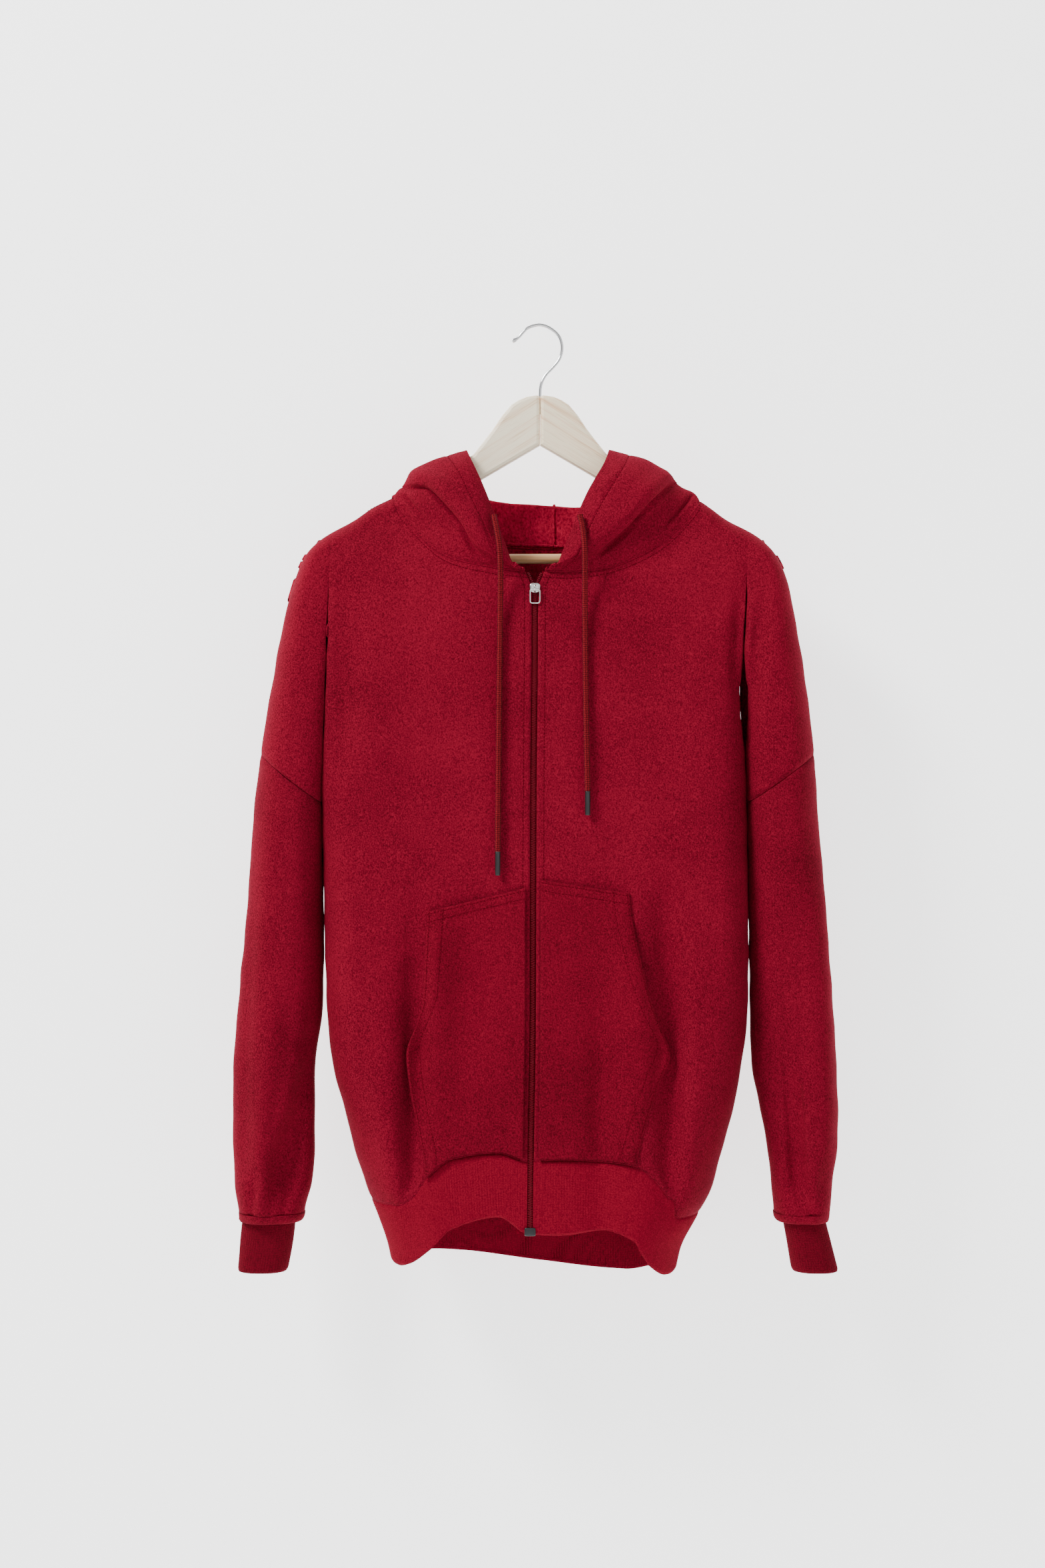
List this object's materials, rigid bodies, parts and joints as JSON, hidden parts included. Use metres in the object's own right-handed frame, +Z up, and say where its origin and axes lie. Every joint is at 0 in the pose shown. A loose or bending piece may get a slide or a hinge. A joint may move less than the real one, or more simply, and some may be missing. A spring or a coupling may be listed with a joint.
{
  "type": "zip up hoodie on a wooden hanger",
  "caption": "Hooded sweatshirt with a full front zip, pouch pockets, ribbed cuffs and waistband, hanging on a wooden hanger with a wire hook.",
  "frame": {"origin": "inner top of the hanger's hook, where a pin or rail carries it", "axes": "+Z up; +X towards the wearer's left, along the hanger; -Y out of the wearer's chest"},
  "size_m": [0.5465, 0.1279, 0.8629],
  "materials": {
    "fleece": "brushed-back sweatshirt jersey, deep crimson with a fine heather",
    "rib_knit": "doubled rib knit, fine upright wales",
    "braided_cord": "round braid, two close reds",
    "cord_tip": "dark smooth sleeve",
    "zip_tape": "woven tape and moulded coil in the cloth's colour",
    "zip_metal": "bright plated, lightly worn",
    "zip_end": "dark plated box",
    "pale_wood": "pale whitened wood, satin lacquer",
    "bar_wood": "plain round wood bar",
    "hook_wire": "bright bent wire"
  },
  "bodies": {
    "garment": {"front_left": "fleece", "front_right": "fleece", "back": "fleece", "sleeve_left": "fleece", "sleeve_right": "fleece", "hood_left": "fleece", "hood_right": "fleece", "pocket_left": "fleece", "pocket_right": "fleece", "cuff_left": "rib_knit", "cuff_right": "rib_knit", "hem_band": "rib_knit", "drawcord_left": "braided_cord", "drawcord_right": "braided_cord", "aglet_left": "cord_tip", "aglet_right": "cord_tip", "zip_left": "zip_tape", "zip_right": "zip_tape", "zip_slider": "zip_metal", "zip_box": "zip_end", "hanger_arm_left": "pale_wood", "hanger_arm_right": "pale_wood", "hanger_bar": "bar_wood", "hanger_hook": "hook_wire"},
    "zip_pull": {"zip_pull": "zip_metal"}
  },
  "joints": [
    {"name": "pull_swing", "type": "hinge", "parent": "garment", "child": "zip_pull", "pos_m": [-0.00401, -0.03447, -0.2394], "axis": [-1, 0, 0], "range_deg": [0, 150]}
  ]
}
